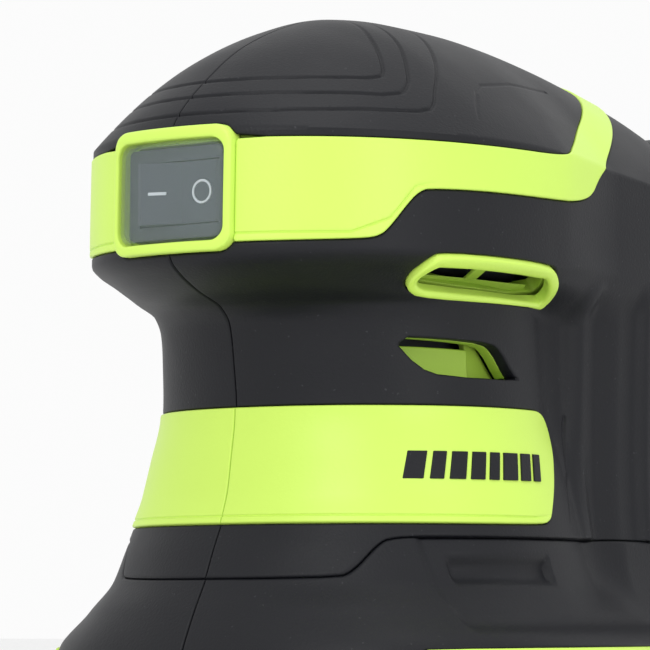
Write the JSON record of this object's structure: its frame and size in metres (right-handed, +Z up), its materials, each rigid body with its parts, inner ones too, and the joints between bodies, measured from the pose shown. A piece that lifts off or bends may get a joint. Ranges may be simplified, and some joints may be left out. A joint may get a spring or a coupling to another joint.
{
  "type": "detail sander",
  "caption": "Cordless mouse-shaped detail sander: palm-grip clamshell body with rear battery, dust box and an orbiting hook-and-loop pad.",
  "frame": {"origin": "motor axis at the working face of the sanding sheet", "axes": "+Z up along the motor axis, -Y towards the pad's pointed nose, X across the width"},
  "size_m": [0.1018, 0.2116, 0.1444],
  "materials": {
    "green_plastic": "satin",
    "black_rubber": "matte",
    "steel": "brushed",
    "black_plastic": "satin",
    "clear_cover": "gloss",
    "brass": "satin",
    "can_steel": "satin",
    "magnet": "matte",
    "copper": "satin",
    "lamination": "satin",
    "grey_plastic": "satin",
    "smoke_plastic": "gloss",
    "board_green": "satin",
    "cell_wrap": "gloss",
    "foam": "matte",
    "hook_fabric": "matte",
    "abrasive": "matte",
    "filter_paper": "matte"
  },
  "bodies": {
    "housing": {"left_shell": "green_plastic", "right_shell": "green_plastic", "left_palm_grip": "black_rubber", "right_palm_grip": "black_rubber", "left_neck_grip": "black_rubber", "right_neck_grip": "black_rubber", "left_skirt": "black_rubber", "right_skirt": "black_rubber", "base_frame": "black_plastic", "housing_screws": "steel", "switch_housing": "black_plastic", "switch_terminals": "brass", "switch_cover": "clear_cover", "motor_can": "can_steel", "motor_magnets": "magnet", "motor_end_bell": "black_plastic", "lower_bearing": "steel", "upper_bearing": "steel", "brush_holders": "brass", "carbon_brushes": "magnet", "motor_mount": "black_plastic", "exhaust_duct": "black_plastic", "control_board": "board_green", "board_parts": "black_plastic", "battery_rail": "black_plastic", "housing_terminals": "brass", "wiring": "black_plastic"},
    "rotor": {"motor_shaft": "steel", "rotor_core": "lamination", "rotor_windings": "copper", "commutator": "copper", "fan": "grey_plastic", "eccentric": "steel", "eccentric_screw": "steel"},
    "pad": {"pad_bearing": "steel", "platen": "black_plastic", "pad_foam": "foam", "hook_layer": "hook_fabric", "sanding_sheet": "abrasive", "tip_sheet": "abrasive", "pad_legs": "black_rubber", "leg_screws": "steel"},
    "rocker": {"rocker": "black_plastic"},
    "battery": {"battery_case_front": "black_plastic", "battery_case_rear": "black_plastic", "battery_cells": "cell_wrap"},
    "latch": {"latch_button": "grey_plastic"},
    "dust_box": {"dust_box_shell": "black_plastic", "dust_filter": "filter_paper", "lid_pin": "steel"},
    "dust_lid": {"dust_box_lid": "smoke_plastic"}
  },
  "joints": [
    {"name": "motor_spin", "type": "hinge", "parent": "housing", "child": "rotor", "pos_m": [0, 0, 0.06], "axis": [0, 0, 1], "continuous": true},
    {"name": "pad_orbit", "type": "hinge", "parent": "rotor", "child": "pad", "pos_m": [-0.001, 0, 0.013], "axis": [0, 0, 1], "continuous": true},
    {"name": "rocker_pivot", "type": "hinge", "parent": "housing", "child": "rocker", "pos_m": [0, -0.0444, 0.1114], "axis": [0, 0, -1], "range_deg": [0, 20]},
    {"name": "battery_slide", "type": "slide", "parent": "housing", "child": "battery", "axis": [0, 0, 1], "range_m": [0, 0.065]},
    {"name": "latch_press", "type": "slide", "parent": "battery", "child": "latch", "axis": [0, -1, 0], "range_m": [0, 0.003], "stiffness_N_per_m": 600, "springref_m": -0.001},
    {"name": "dust_box_slide", "type": "slide", "parent": "housing", "child": "dust_box", "axis": [0, 1, 0], "range_m": [0, 0.045]},
    {"name": "dust_lid_hinge", "type": "hinge", "parent": "dust_box", "child": "dust_lid", "pos_m": [0, 0.111, 0.0174], "axis": [-1, 0, 0], "range_deg": [0, 80]}
  ],
  "couplings": [
    {"joint": "pad_orbit", "follows": "motor_spin", "ratio": -1}
  ]
}
